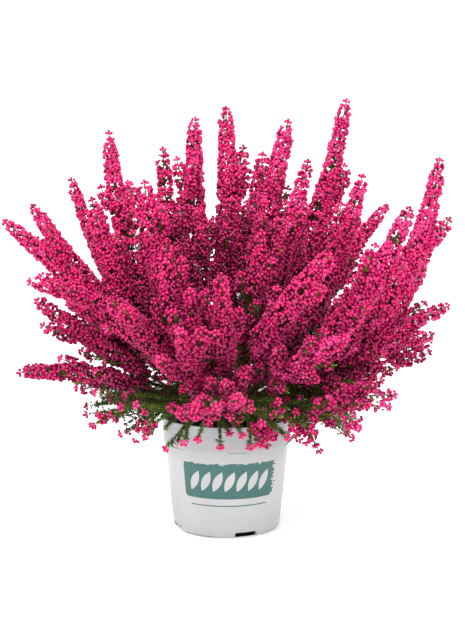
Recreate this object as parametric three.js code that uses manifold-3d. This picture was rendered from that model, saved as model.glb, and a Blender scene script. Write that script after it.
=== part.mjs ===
// A cape heath (Erica gracilis) in flower, growing in a round plastic nursery pot.
// Millimetres, +Z up. The origin is on the ground under the pot's axis, and +Y points to the plant's back.
// Every piece is a mesh of its own: the pot, the ball of peat, the woody base stems and each flowering shoot.

import * as THREE from 'three';
import { mergeVertices } from 'three/addons/utils/BufferGeometryUtils.js';
import Module from 'manifold-3d';

// Driving dimensions of the pot
const POT_HEIGHT = 112;
const RIM_RADIUS = 65;
const RIM_LIP = 1.5;
const LIP_OVERHANG = 0.5;
const WALL = 1.5;
const COLLAR_FROM = 86;
const COLLAR_STEP = 1.6;
const COLLAR_LEAN = 0.6;
const FOOT_RADIUS = 53.4;
const FOOT_CORNER = 2.6;
const FOOT_INNER_RADIUS = 48.6;
const FLOOR_UNDERSIDE = 6;
const FLOOR_FILLET = 2;
const POT_SIDES = 64;

// Slots through the foot ring, and drainage holes in the floor
const SLOT_SETS = 4;
const TALL_SLOT = { angle: 21, width: 22.5, height: 5.4 };
const LOW_SLOT = { angle: -31, width: 32, height: 1.5 };
const SLOT_INNER_RADIUS = 40;
const SLOT_OUTER_RADIUS = 60;
const DRAIN_HOLES = 8;
const DRAIN_RADIUS = 3.5;
const DRAIN_RING = 36;
const DRAIN_SIDES = 12;

// The peat
const PEAT_TOP = 100;
const PEAT_EDGE_DROP = 4;
const PEAT_EDGE_WIDTH = 7;
const PEAT_FOOT_WIDTH = 2.2;
const PEAT_FOOT_HEIGHT = 2.5;
const GAP = 0.3;

// The woody base stems
const WOODY_STEMS = 4;
const WOODY_RING = 21;
const TRUNK_RADIUS = 4;
const TRUNK_HEIGHT = 9;
const TRUNK_TAPER = 0.8;
const FORK_START = 3;
const FORK_BEND_BELOW = 5;
const FORK_LEAN = 0.12;
const FORK_ROOT_RADIUS = 2.3;
const FORK_TIP_RADIUS = 1.9;
const CROWN_HEIGHT = 122;

// The flowering shoots
const CROWN_RADIUS = 37;
const CROWN_SLACK = 5;
const LEVEL = Math.PI / 2;
const CROWN_POWER = 0.9;
const CROWN_ROUNDS = 200;
const MOST_LEAN = 1.15;
const SHOOT_SPACING = 8.2;
const STEM_RADIUS = 1.7;
const SLEEVE_SIDES = 8;
const FLOWERS_FROM = 0.24;
const FLOWERS_FULL = 0.5;
const TIP_SHARE = 0.48;
const TAPER_END = 1.05;
const TIP_RADIUS = 3;
const THINNEST = 0.9;
const BOW_AT = 0.55;
const SHOOT_GAP = 0.7;
const RING_PLACES = [0, 0.12, 0.25, 0.38, 0.5, 0.62, 0.74, 0.86, 0.96];

// Each shoot: its tip (x, y, z), how far it bows upwards and sideways from a straight line, and its girth.
// The shoots that are seen from the front
const FRONT_SHOOTS = [
  [-217, -10, 306, 5, -5, 21],
  [-198, 40, 320, -20, -5, 21],
  [-186, -60, 251, 50, 0, 21],
  [-188, -10, 228, -5, -10, 20],
  [-203, -30, 159, 25, 0, 20],
  [-162, 70, 347, -48, 5, 18],
  [-129, -30, 328, -38, 15, 24],
  [-117, 20, 393, -52, 0, 22],
  [-77, -50, 344, -28, 5, 26],
  [-66, 60, 378, -48, 10, 23],
  [-31, 10, 406, -23, -5, 24],
  [-1, 40, 418, 14, 5, 24],
  [61, 20, 404, 0, -10, 25],
  [78, -30, 364, -10, 5, 20],
  [120, 30, 425, -38, -30, 23],
  [131, -20, 350, -36, 10, 23],
  [166, 60, 319, 15, 10, 19],
  [205, -20, 366, -98, 5, 24],
  [214, 50, 305, -75, 30, 20],
  [168, -80, 320, -50, 25, 25],
  [217, -20, 224, 0, 0, 19],
  [210, 30, 183, 5, 5, 18],
  [168, -20, 162, 5, 0, 17],
  [160, -70, 145, 5, 5, 18],
  [151, -95, 138, 10, 5, 15],
  [121, -115, 122, 20, 0, 14],
  [-119, -50, 118, 20, 0, 14],
  [-32, -120, 249, -20, 10, 18],
  [-54, -90, 291, -50, 5, 18],
  [-4, -130, 263, -20, 0, 20],
  [33, -70, 298, -15, 0, 18],
  [93, -110, 279, 0, 35, 28],
  [-104, -110, 239, 10, 5, 26],
  [-26, -196, 150, 24, 0, 17],
  [12, -170, 158, 10, 5, 16],
  [-40, -150, 217, -15, 10, 16],
  [105, -150, 210, 10, 0, 18],
];

// The shoots that fill the plant's back
const BACK_SHOOTS = [
  [-172, 92, 215, 10, 0, 19],
  [-132, 146, 182, 15, 5, 18],
  [-78, 178, 212, 10, 0, 20],
  [-22, 190, 172, 20, 0, 18],
  [34, 196, 222, 5, 5, 20],
  [88, 174, 178, 15, 0, 18],
  [140, 140, 214, 10, -5, 19],
  [182, 98, 178, 15, 0, 17],
  [-126, 112, 286, -20, 0, 21],
  [-64, 136, 304, -20, 5, 21],
  [8, 140, 312, -15, 0, 22],
  [72, 134, 296, -20, -5, 21],
  [128, 104, 300, -25, 0, 20],
  [34, 88, 366, -10, 0, 20],
];

// Short shoots that hang over the rim
const RIM_SPRIGS = [
  [30, -89, 97, 36, 0, 15],
  [88, -46, 80, 40, 0, 10],
  [-77, -21, 93, 50, 0, 9],
];

// How the shoots make room for each other
const MAKE_ROOM_ROUNDS = 90;
const MAKE_ROOM_STEP = 1.6;
const LINE_POINTS = 26;
const FACE_ON_SHARE = 0.35;
const SMOOTHING = 0.4;
const PULL_BACK = 0.03;
const FINE_STEPS = 6;

// Corners nearer than this are one corner.
const MERGE_DISTANCE = 1e-4;
const ON_AXIS = 1e-6;

const wasm = await Module();
wasm.setup();

const finish = (color, roughness) => new THREE.MeshStandardMaterial({ color, roughness, metalness: 0 });
const potPlastic = finish(0xd0cfd1, 0.42);
const peat = finish(0x2b1d16, 0.98);
const bark = finish(0x5b4030, 0.9);
const flowers = finish(0xc0286a, 0.75);
const greenShoot = finish(0x6b7a34, 0.8);

function withoutSpareAttributes(geometry) {
  const bare = geometry.clone();
  bare.deleteAttribute('normal');
  bare.deleteAttribute('uv');
  return mergeVertices(bare, MERGE_DISTANCE);
}

// Keeps the triangles that have three different corners, and turns them all outwards.
function closedBody(geometry) {
  const bare = withoutSpareAttributes(geometry);
  const at = bare.getAttribute('position');
  const corners = [0, 1, 2].map(() => new THREE.Vector3());
  const kept = [];
  let volume = 0;
  for (let i = 0; i < bare.index.count; i += 3) {
    const [a, b, c] = [0, 1, 2].map((k) => bare.index.getX(i + k));
    if (a === b || b === c || c === a) continue;
    kept.push(a, b, c);
    [a, b, c].forEach((v, k) => corners[k].fromBufferAttribute(at, v));
    volume += corners[0].dot(corners[1].clone().cross(corners[2]));
  }
  if (volume < 0) kept.reverse();
  bare.setIndex(kept);
  return bare;
}

function toSolid(geometry) {
  const body = closedBody(geometry);
  const vertProperties = new Float32Array(body.getAttribute('position').array);
  const triVerts = new Uint32Array(body.index.array);
  return new wasm.Manifold(new wasm.Mesh({ numProp: 3, vertProperties, triVerts }));
}

function fromSolid(solid) {
  const mesh = solid.getMesh();
  const geometry = new THREE.BufferGeometry();
  geometry.setAttribute('position', new THREE.BufferAttribute(mesh.vertProperties, 3));
  geometry.setIndex(new THREE.BufferAttribute(mesh.triVerts, 1));
  return geometry;
}

function piece(name, geometry, material) {
  const mesh = new THREE.Mesh(geometry, material);
  mesh.name = name;
  return mesh;
}

// Turns a profile of [radius, height] pairs about the vertical axis.
function turned(profile, sides) {
  const points = profile.map(([r, z]) => new THREE.Vector2(r, z));
  return new THREE.LatheGeometry(points, sides).rotateX(Math.PI / 2);
}

// The radius of the pot's outer wall below the collar
function outerWall(z) {
  const wallTop = RIM_RADIUS - LIP_OVERHANG - COLLAR_LEAN - COLLAR_STEP;
  return FOOT_RADIUS + ((wallTop - FOOT_RADIUS) * (z - FOOT_CORNER)) / (COLLAR_FROM - FOOT_CORNER);
}

function makePot() {
  const floorTop = FLOOR_UNDERSIDE + WALL;
  const collarTop = RIM_RADIUS - LIP_OVERHANG;
  const collarFoot = collarTop - COLLAR_LEAN;
  const half = FOOT_CORNER * Math.SQRT1_2;
  const profile = [
    [0, FLOOR_UNDERSIDE],
    [FOOT_INNER_RADIUS, FLOOR_UNDERSIDE],
    [FOOT_INNER_RADIUS, 0],
    [FOOT_RADIUS - FOOT_CORNER, 0],
    [FOOT_RADIUS - FOOT_CORNER + half, FOOT_CORNER - half],
    [FOOT_RADIUS, FOOT_CORNER],
    [outerWall(COLLAR_FROM), COLLAR_FROM],
    [collarFoot, COLLAR_FROM + COLLAR_STEP],
    [collarTop, POT_HEIGHT - RIM_LIP],
    [RIM_RADIUS, POT_HEIGHT - RIM_LIP + LIP_OVERHANG],
    [RIM_RADIUS, POT_HEIGHT - LIP_OVERHANG],
    [collarTop, POT_HEIGHT],
    [collarTop - WALL, POT_HEIGHT],
    [collarFoot - WALL, COLLAR_FROM + COLLAR_STEP + WALL / 2],
    [outerWall(COLLAR_FROM) - WALL, COLLAR_FROM + WALL / 2],
    [outerWall(floorTop) - WALL, floorTop + FLOOR_FILLET],
    [outerWall(floorTop) - WALL - FLOOR_FILLET, floorTop],
    [0, floorTop],
  ];
  let pot = toSolid(turned(profile, POT_SIDES));

  // The slots run in from the foot's outside, under the floor.
  const slotDepth = SLOT_OUTER_RADIUS - SLOT_INNER_RADIUS;
  for (let set = 0; set < SLOT_SETS; set++) {
    for (const slot of [TALL_SLOT, LOW_SLOT]) {
      const cutter = new THREE.BoxGeometry(slot.width, slotDepth, 2 * slot.height);
      cutter.translate(0, -(SLOT_INNER_RADIUS + SLOT_OUTER_RADIUS) / 2, 0);
      cutter.rotateZ(THREE.MathUtils.degToRad(slot.angle + (360 / SLOT_SETS) * set));
      pot = pot.subtract(toSolid(cutter));
    }
  }
  for (let hole = 0; hole < DRAIN_HOLES; hole++) {
    const angle = (2 * Math.PI * hole) / DRAIN_HOLES;
    const cutter = new THREE.CylinderGeometry(DRAIN_RADIUS, DRAIN_RADIUS, 4 * WALL, DRAIN_SIDES);
    cutter.rotateX(Math.PI / 2);
    cutter.translate(DRAIN_RING * Math.cos(angle), DRAIN_RING * Math.sin(angle), FLOOR_UNDERSIDE + WALL / 2);
    pot = pot.subtract(toSolid(cutter));
  }
  return piece('pot', fromSolid(pot), potPlastic);
}

function makePeat() {
  const floorTop = FLOOR_UNDERSIDE + WALL;
  const inside = WALL + GAP;
  const collarFoot = RIM_RADIUS - LIP_OVERHANG - COLLAR_LEAN;
  const edge = PEAT_TOP - PEAT_EDGE_DROP;
  const profile = [
    [0, floorTop + GAP],
    [outerWall(floorTop) - inside - PEAT_FOOT_WIDTH, floorTop + GAP],
    [outerWall(floorTop) - inside, floorTop + PEAT_FOOT_HEIGHT],
    [outerWall(COLLAR_FROM) - inside, COLLAR_FROM + WALL / 2],
    [collarFoot - inside, COLLAR_FROM + COLLAR_STEP + WALL],
    [collarFoot - inside, edge],
    [collarFoot - inside - PEAT_EDGE_WIDTH, PEAT_TOP],
    [0, PEAT_TOP],
  ];
  return piece('peat_root_ball', closedBody(turned(profile, POT_SIDES / 2)), peat);
}

// A turned body with one ring for each centre, bent so that each ring stands across the line of centres.
// With a tip point it ends in a blunt cone, and without one in a flat face.
function sleeve(centres, radii, tip) {
  const last = tip ?? centres[centres.length - 1];
  const profile = [new THREE.Vector2(0, 0)];
  radii.forEach((radius, ring) => profile.push(new THREE.Vector2(radius, ring)));
  profile.push(new THREE.Vector2(0, radii.length));
  const body = new THREE.LatheGeometry(profile, SLEEVE_SIDES);
  const along = centres.map((_, ring) => {
    if (ring === 0) return new THREE.Vector3(0, 0, 1);
    const next = centres[ring + 1] ?? tip;
    if (!next) return new THREE.Vector3(0, 0, 1);
    return next.clone().sub(centres[ring - 1]).normalize();
  });
  const across = [];
  along.forEach((direction, ring) => {
    const from = ring ? across[ring - 1] : new THREE.Vector3(1, 0, 0);
    across.push(from.clone().addScaledVector(direction, -from.dot(direction)).normalize());
  });
  const at = body.getAttribute('position');
  const moved = new THREE.Vector3();
  for (let i = 0; i < at.count; i++) {
    const ring = Math.round(at.getY(i));
    const onAxis = Math.hypot(at.getX(i), at.getZ(i)) < ON_AXIS;
    if (onAxis && ring === centres.length) {
      moved.copy(last);
    } else {
      const side = along[ring].clone().cross(across[ring]);
      moved.copy(centres[ring]);
      moved.addScaledVector(across[ring], at.getX(i));
      moved.addScaledVector(side, at.getZ(i));
    }
    at.setXYZ(i, moved.x, moved.y, moved.z);
  }
  return body;
}

// Places along a line of points, from 0 at its start to 1 at its end, by length
function pointAlong(line, share) {
  const steps = line.slice(1).map((p, i) => p.distanceTo(line[i]));
  let left = share * steps.reduce((sum, step) => sum + step, 0);
  for (let i = 0; i < steps.length; i++) {
    if (left <= steps[i] || i === steps.length - 1) {
      return line[i].clone().lerp(line[i + 1], Math.min(left / steps[i], 1));
    }
    left -= steps[i];
  }
  return line[0].clone();
}

// Where each shoot leaves the crown: the more it leans, the further out its foot.
function crownPlaces(rows) {
  const places = rows.map(([x, y, z]) => {
    const out = Math.hypot(x, y);
    const lean = Math.atan2(out, z - CROWN_HEIGHT) / LEVEL;
    const radius = CROWN_RADIUS * Math.min(lean, MOST_LEAN) ** CROWN_POWER;
    return new THREE.Vector3((x / out) * radius, (y / out) * radius, CROWN_HEIGHT);
  });
  for (let round = 0; round < CROWN_ROUNDS; round++) {
    for (let i = 0; i < places.length; i++) {
      for (let j = 0; j < i; j++) {
        const apart = places[i].clone().sub(places[j]);
        const short = SHOOT_SPACING - apart.length();
        if (short <= 0) continue;
        apart.setLength(short / 2);
        places[i].add(apart);
        places[j].sub(apart);
      }
    }
    for (const place of places) {
      const out = Math.hypot(place.x, place.y);
      const inwards = Math.min(1, (CROWN_RADIUS + CROWN_SLACK) / out);
      place.x *= inwards;
      place.y *= inwards;
    }
  }
  return places;
}

// The bowed line from a shoot's foot to its tip
function bowedLine(foot, [x, y, z, up, sideways]) {
  const tip = new THREE.Vector3(x, y, z);
  const chord = tip.clone().sub(foot).normalize();
  const side = chord.clone().cross(new THREE.Vector3(0, 0, 1)).normalize();
  const lift = side.clone().cross(chord);
  const middle = foot.clone().lerp(tip, BOW_AT);
  middle.addScaledVector(lift, up).addScaledVector(side, sideways);
  return new THREE.QuadraticBezierCurve3(foot, middle, tip).getSpacedPoints(LINE_POINTS);
}

// The radius that a shoot would have with nothing beside it
function freeRadius(share, girth) {
  const grown = THREE.MathUtils.smoothstep(share, FLOWERS_FROM, FLOWERS_FULL);
  const tapered = 1 - (1 - TIP_SHARE) * THREE.MathUtils.smoothstep(share, FLOWERS_FULL, TAPER_END);
  return STEM_RADIUS + (girth / 2 - STEM_RADIUS) * grown * tapered;
}

// Moves the lines apart where their shoots would meet. Feet and tips stay.
function makeRoom(lines, girths) {
  const rest = lines.map((line) => line.map((p) => p.clone()));
  const wanted = lines.map((line, i) => line.map((_, k) => freeRadius(k / (line.length - 1), girths[i])));
  for (let round = 0; round < MAKE_ROOM_ROUNDS; round++) {
    const moves = lines.map((line) => line.map(() => new THREE.Vector3()));
    for (let i = 0; i < lines.length; i++) {
      for (let j = 0; j < i; j++) {
        for (let a = 1; a < LINE_POINTS; a++) {
          for (let b = 1; b < LINE_POINTS; b++) {
            const apart = lines[i][a].clone().sub(lines[j][b]);
            const short = wanted[i][a] + wanted[j][b] + SHOOT_GAP - apart.length();
            if (short <= 0) continue;
            apart.setLength(short / 2);
            moves[i][a].add(apart);
            moves[j][b].sub(apart);
          }
        }
      }
    }
    for (let i = 0; i < lines.length; i++) {
      for (let a = 1; a < LINE_POINTS; a++) {
        const share = a / LINE_POINTS;
        const free = Math.sqrt(Math.sin(Math.PI * share));
        const move = moves[i][a].clampLength(0, MAKE_ROOM_STEP).multiplyScalar(free);
        const faceOn = share < FLOWERS_FULL ? 1 : FACE_ON_SHARE;
        lines[i][a].x += move.x * faceOn;
        lines[i][a].y += move.y;
        lines[i][a].z += move.z * faceOn;
      }
      const before = lines[i].map((p) => p.clone());
      for (let a = 1; a < LINE_POINTS; a++) {
        const between = before[a - 1].clone().lerp(before[a + 1], 0.5);
        lines[i][a].lerp(between, SMOOTHING).lerp(rest[i][a], PULL_BACK);
      }
    }
  }
}

// The widest radius at each ring that keeps every shoot clear of the others
function fittedRadii(rings, girths) {
  const samples = rings.map((centres, i) => {
    const found = [];
    for (let ring = 0; ring + 1 < centres.length; ring++) {
      for (let step = 0; step < FINE_STEPS; step++) {
        const t = step / FINE_STEPS;
        const places = [...RING_PLACES, 1];
        const share = places[ring] + (places[ring + 1] - places[ring]) * t;
        const centre = centres[ring].clone().lerp(centres[ring + 1], t);
        const free = freeRadius(share, girths[i]);
        found.push({ centre, free, limit: free, ring });
      }
    }
    const tip = centres[centres.length - 1];
    found.push({ centre: tip, free: TIP_RADIUS, limit: TIP_RADIUS, ring: centres.length - 2 });
    return found;
  });
  for (let i = 0; i < samples.length; i++) {
    for (let j = 0; j < i; j++) {
      for (const one of samples[i]) {
        for (const other of samples[j]) {
          const apart = one.centre.distanceTo(other.centre) - SHOOT_GAP;
          if (apart > one.free + other.free) continue;
          const share = apart / (one.free + other.free);
          one.limit = Math.min(one.limit, one.free * share);
          other.limit = Math.min(other.limit, other.free * share);
        }
      }
    }
  }
  return samples.map((found, i) =>
    RING_PLACES.map((place, ring) => {
      const near = found.filter((s) => s.ring === ring || s.ring === ring - 1);
      const limit = Math.min(...near.map((s) => s.limit / s.free));
      return Math.max(freeRadius(place, girths[i]) * limit, THINNEST);
    })
  );
}

const rows = [...FRONT_SHOOTS, ...BACK_SHOOTS, ...RIM_SPRIGS];
const girths = rows.map((row) => row[5]);
const feet = crownPlaces(rows);
const lines = rows.map((row, i) => bowedLine(feet[i], row));
makeRoom(lines, girths);
const rings = lines.map((line) => [...RING_PLACES, 1].map((share) => pointAlong(line, share)));
const radii = fittedRadii(rings, girths);

function makeShoot(index) {
  const centres = rings[index].slice(0, -1);
  const tip = rings[index][centres.length];
  const body = closedBody(sleeve(centres, radii[index], tip));
  const sprigs = FRONT_SHOOTS.length + BACK_SHOOTS.length;
  if (index < sprigs) {
    return piece(`flowering_shoot_${String(index + 1).padStart(2, '0')}`, body, flowers);
  }
  return piece(`rim_sprig_${index - sprigs + 1}`, body, greenShoot);
}

// Each woody stem is a short trunk on the peat that forks to the feet of the shoots nearest to it.
function woodyRoots() {
  return Array.from({ length: WOODY_STEMS }, (_, stem) => {
    const angle = (2 * Math.PI * (stem + 0.5)) / WOODY_STEMS;
    return new THREE.Vector3(WOODY_RING * Math.cos(angle), WOODY_RING * Math.sin(angle), PEAT_TOP + GAP);
  });
}

function makeWoodyStem(stem, roots) {
  const root = roots[stem];
  const up = (height) => root.clone().setZ(PEAT_TOP + GAP + height);
  const trunk = [up(0), up(TRUNK_HEIGHT)];
  let wood = toSolid(sleeve(trunk, [TRUNK_RADIUS, TRUNK_RADIUS * TRUNK_TAPER]));
  for (const foot of feet) {
    const nearest = roots.reduce((best, other) => (
      Math.hypot(other.x - foot.x, other.y - foot.y) < Math.hypot(best.x - foot.x, best.y - foot.y)
        ? other
        : best
    ));
    if (nearest !== root) continue;
    const end = foot.clone().setZ(CROWN_HEIGHT - GAP);
    const below = foot.clone().lerp(root, FORK_LEAN).setZ(CROWN_HEIGHT - FORK_BEND_BELOW);
    const fork = sleeve([up(FORK_START), below, end], [FORK_ROOT_RADIUS, FORK_TIP_RADIUS, FORK_TIP_RADIUS]);
    wood = wood.add(toSolid(fork));
  }
  return piece(`woody_stem_${stem + 1}`, fromSolid(wood), bark);
}

const heath = new THREE.Group();
heath.add(makePot());
heath.add(makePeat());
const roots = woodyRoots();
roots.forEach((_, stem) => heath.add(makeWoodyStem(stem, roots)));
rows.forEach((_, index) => heath.add(makeShoot(index)));

export default heath;
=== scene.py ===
# %% [markdown]
# # A cape heath in a grey nursery pot
# The real thing is a small bushy heath, sold in flower. Its shoots are spikes of urn-shaped bells, about
# three and a half millimetres long, with a little needle-leaved green between and below them. The pot is
# thin moulded plastic. The CAD model gives the place, length and girth of every shoot as a plain sleeve.
# This script reads those sleeves and grows stalks, needles and bells inside them.

# %% Load the CAD frame
import math
import random

import bmesh
import bpy
from mathutils import Matrix, Vector, noise


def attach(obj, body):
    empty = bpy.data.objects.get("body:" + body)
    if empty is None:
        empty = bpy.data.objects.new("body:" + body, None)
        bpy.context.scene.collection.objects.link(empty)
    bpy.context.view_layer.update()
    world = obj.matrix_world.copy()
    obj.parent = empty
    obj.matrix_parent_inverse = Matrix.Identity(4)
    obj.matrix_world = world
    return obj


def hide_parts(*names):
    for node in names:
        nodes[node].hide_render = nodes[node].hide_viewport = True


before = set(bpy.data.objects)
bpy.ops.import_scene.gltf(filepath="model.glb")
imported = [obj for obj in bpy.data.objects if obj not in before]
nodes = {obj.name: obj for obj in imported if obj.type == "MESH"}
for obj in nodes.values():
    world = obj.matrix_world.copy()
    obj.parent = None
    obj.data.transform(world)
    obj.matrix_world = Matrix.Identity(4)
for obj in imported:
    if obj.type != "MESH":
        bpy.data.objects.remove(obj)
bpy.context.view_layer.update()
MM = 0.001
scene = bpy.context.scene

# %% [markdown]
# ## Camera
# The photograph was taken with a longish lens, a little above the rim and looking slightly down. The
# camera's place and tilt were found from the pot's rim and foot, whose ellipses give the viewing angle.

# %% Camera
CAMERA_PLACE = (0.0058, -1.125, 0.344)
CAMERA_TILT_DOWN = 6.86
CAMERA_LENS = 64.37

lens = bpy.data.cameras.new("camera")
lens.lens = CAMERA_LENS
lens.sensor_width = 36.0
lens.clip_start = 0.02
camera = bpy.data.objects.new("camera", lens)
camera.location = CAMERA_PLACE
camera.rotation_euler = (math.radians(90 - CAMERA_TILT_DOWN), 0, 0)
scene.collection.objects.link(camera)
scene.camera = camera
scene.view_settings.view_transform = "Standard"

# %% [markdown]
# ## Small helpers
# One function turns an sRGB hex colour into the linear values that the shaders want, one adds a node with
# its settings and links, one starts a material, and one turns a finished bmesh into a named object.

# %% Helpers
def linear(hex_colour):
    values = [int(hex_colour[i:i + 2], 16) / 255 for i in (1, 3, 5)]
    return [v / 12.92 if v <= 0.04045 else ((v + 0.055) / 1.055) ** 2.4 for v in values] + [1.0]


def feed(node, socket, source):
    """Links a socket, or a node's first output, to a node's input."""
    if isinstance(source, bpy.types.Node):
        source = source.outputs[0]
    node.id_data.links.new(source, node.inputs[socket])


def add(tree, kind, inputs=None, stops=None, **settings):
    node = tree.nodes.new("ShaderNode" + kind)
    for name, value in settings.items():
        setattr(node, name, value)
    for socket, value in (inputs or {}).items():
        if isinstance(value, (bpy.types.Node, bpy.types.NodeSocket)):
            feed(node, socket, value)
        else:
            node.inputs[socket].default_value = value
    for number, (place, colour) in enumerate(stops or []):
        elements = node.color_ramp.elements
        element = elements[number] if number < len(elements) else elements.new(place)
        element.position = place
        element.color = linear(colour)
    return node


def new_material(name, constants):
    material = bpy.data.materials.new(name)
    material.use_nodes = True
    shader = material.node_tree.nodes["Principled BSDF"]
    for socket, value in constants.items():
        shader.inputs[socket].default_value = value
    return material, material.node_tree, shader


def new_object(name, bm, *materials):
    mesh = bpy.data.meshes.new(name)
    bm.to_mesh(mesh)
    bm.free()
    obj = bpy.data.objects.new(name, mesh)
    scene.collection.objects.link(obj)
    for material in materials:
        mesh.materials.append(material)
    return obj


def spun(profile, steps, merge_distance):
    """A half profile of (radius, height) points in millimetres, spun round the upright axis."""
    bm = bmesh.new()
    verts = [bm.verts.new((r * MM, 0, z * MM)) for r, z in profile]
    edges = [bm.edges.new(pair) for pair in zip(verts, verts[1:])]
    bmesh.ops.spin(bm, geom=verts + edges, cent=(0, 0, 0), axis=(0, 0, 1), angle=2 * math.pi,
                   steps=steps, use_merge=True, use_duplicate=False)
    bmesh.ops.remove_doubles(bm, verts=bm.verts[:], dist=merge_distance)
    return bm


# %% [markdown]
# ## Floor and light
# The object stands in a round white cove: a floor that curves up into a wall on every side, so no edge
# shows behind it from any angle. The paper glows a little, as a back-lit cove does, which keeps it white
# where the plant shades it. The light is soft and even, and a little stronger from the left.

# %% Floor and backdrop
COVE_BEND_START = 2600
COVE_BEND_RADIUS = 1200
COVE_TOP = 4200
COVE_BEND_STEPS = 12
COVE_STEPS = 96
FLOOR_LEVEL = -0.4
PAPER_GLOW = 0.29

cove_material, tree, shader = new_material("Matt white paper", {
    "Base Color": linear("#fbfbfb"), "Roughness": 0.9, "Specular IOR Level": 0.2,
    "Emission Color": linear("#ffffff"), "Emission Strength": PAPER_GLOW})

profile = [(0, FLOOR_LEVEL)]
for step in range(COVE_BEND_STEPS + 1):
    angle = math.radians(90 * step / COVE_BEND_STEPS)
    profile.append((COVE_BEND_START + COVE_BEND_RADIUS * math.sin(angle),
                    FLOOR_LEVEL + COVE_BEND_RADIUS * (1 - math.cos(angle))))
profile.append((COVE_BEND_START + COVE_BEND_RADIUS, COVE_TOP))
bm = spun(profile, COVE_STEPS, 0.0001)
cove = new_object("paper_cove", bm, cove_material)
cove.data.shade_smooth()

# A dark pad smaller than the pot lies under it. It is painted shadow: it makes the drain slots look dark,
# as the shade under a real pot does.
SHADOW_PAD_RADIUS = 48.5
shadow_pad_material, tree, shader = new_material("Black painted shadow pad", {
    "Base Color": linear("#141214"), "Roughness": 1.0})
bm = bmesh.new()
bmesh.ops.create_circle(bm, cap_ends=True, segments=64, radius=SHADOW_PAD_RADIUS * MM,
                        matrix=Matrix.Translation((0, 0, FLOOR_LEVEL / 2 * MM)))
pad = new_object("painted_shadow_pad", bm, shadow_pad_material)

# %% World and lamps
WORLD_STRENGTH = 0.5

world = bpy.data.worlds.new("studio")
world.use_nodes = True
background = world.node_tree.nodes["Background"].inputs
background["Color"].default_value = (1, 1, 1, 1)
background["Strength"].default_value = WORLD_STRENGTH
scene.world = world

LAMPS = [
    # name, place, size, watts
    ("overhead", (-0.1, -0.45, 1.9), 1.5, 37),
    ("key", (-0.7, -1.25, 2.1), 0.8, 15),
    ("fill", (1.4, -1.6, 1.2), 1.2, 2),
]
for name, place, size, watts in LAMPS:
    lamp = bpy.data.lights.new(name, "AREA")
    lamp.shape = "DISK"
    lamp.size = size
    lamp.energy = watts
    holder = bpy.data.objects.new(name, lamp)
    holder.location = place
    holder.rotation_euler = (Vector((0, 0, 0.2)) - Vector(place)).to_track_quat("-Z", "Y").to_euler()
    scene.collection.objects.link(holder)

# %% [markdown]
# ## The pot
# Nursery pots like this are injection moulded in polypropylene, with a wall of about a millimetre and a
# half. A half profile is spun round the axis. The collar is a band with six shallow raised panels, so the
# strips between them are pushed in by moving vertices. The drainage slots and holes are cut with a Boolean.

# %% Pot profile
POT_HEIGHT = 112
FOOT_RADIUS = 53.4
FOOT_CORNER = 2.6
FOOT_INNER_RADIUS = 48.6
FLOOR_UNDERSIDE = 6
WALL = 1.5
COLLAR_FROM = 86
COLLAR_FOOT_RADIUS = 63.9
COLLAR_TOP_RADIUS = 64.5
COLLAR_WALL_FROM = 88
WALL_TOP_RADIUS = 62.3
POT_STEPS = 384


def outer_wall(z):
    share = (z - FOOT_CORNER) / (COLLAR_FROM - FOOT_CORNER)
    return FOOT_RADIUS + (WALL_TOP_RADIUS - FOOT_RADIUS) * share


def collar_radius(z):
    share = (z - COLLAR_WALL_FROM) / (POT_HEIGHT - COLLAR_WALL_FROM)
    return COLLAR_FOOT_RADIUS + (COLLAR_TOP_RADIUS - COLLAR_FOOT_RADIUS) * share


floor_top = FLOOR_UNDERSIDE + WALL
profile = [(0, FLOOR_UNDERSIDE), (44, FLOOR_UNDERSIDE), (FOOT_INNER_RADIUS, FLOOR_UNDERSIDE)]
profile += [(FOOT_INNER_RADIUS, 0), (FOOT_RADIUS - FOOT_CORNER, 0)]
for step in range(1, 6):
    angle = math.radians(90 * step / 6)
    turn_out = FOOT_RADIUS - FOOT_CORNER + FOOT_CORNER * math.sin(angle)
    profile.append((turn_out, FOOT_CORNER * (1 - math.cos(angle))))
for z in (FOOT_CORNER, 5, 8, 12, 20, 30, 40, 50, 60, 70, 80, 84, COLLAR_FROM):
    profile.append((outer_wall(z), z))
profile += [(62.9, 86.15), (63.5, 86.6), (63.85, 87.3)]
for z in (88, 89, 91, 94, 97, 100, 103, 106, 107.6, 108.4, 109.2, 110.2):
    profile.append((collar_radius(z), z))
profile += [(64.8, 110.5), (65, 110.9), (65, 111.4), (64.85, 111.8), (64.5, 112)]
profile += [(63.5, 112), (63.15, 111.85), (63, 111.5), (62.85, 106), (62.4, 88.5)]
profile += [(60.9, 86.8), (outer_wall(60) - WALL, 60), (outer_wall(30) - WALL, 30)]
profile += [(outer_wall(floor_top) - WALL, floor_top + 2)]
profile += [(outer_wall(floor_top) - WALL - 2, floor_top), (0, floor_top)]

bm = spun(profile, POT_STEPS, 0.00002)
bmesh.ops.recalc_face_normals(bm, faces=bm.faces[:])
print("pot blank:", len(bm.verts), "vertices")

# %% Collar panels
PANELS = 6
FIRST_PANEL_MIDDLE = -19.5
PANEL_HALF_AT_FOOT = 20.4
PANEL_HALF_AT_TOP = 24.7
PANEL_DEPTH = 1.3
PANEL_RISE = 22
COLLAR_SKIN = (62.2, 86.05, 111.9)


def smooth_step(value, low, high):
    share = min(max((value - low) / (high - low), 0), 1)
    return share * share * (3 - 2 * share)


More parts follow.
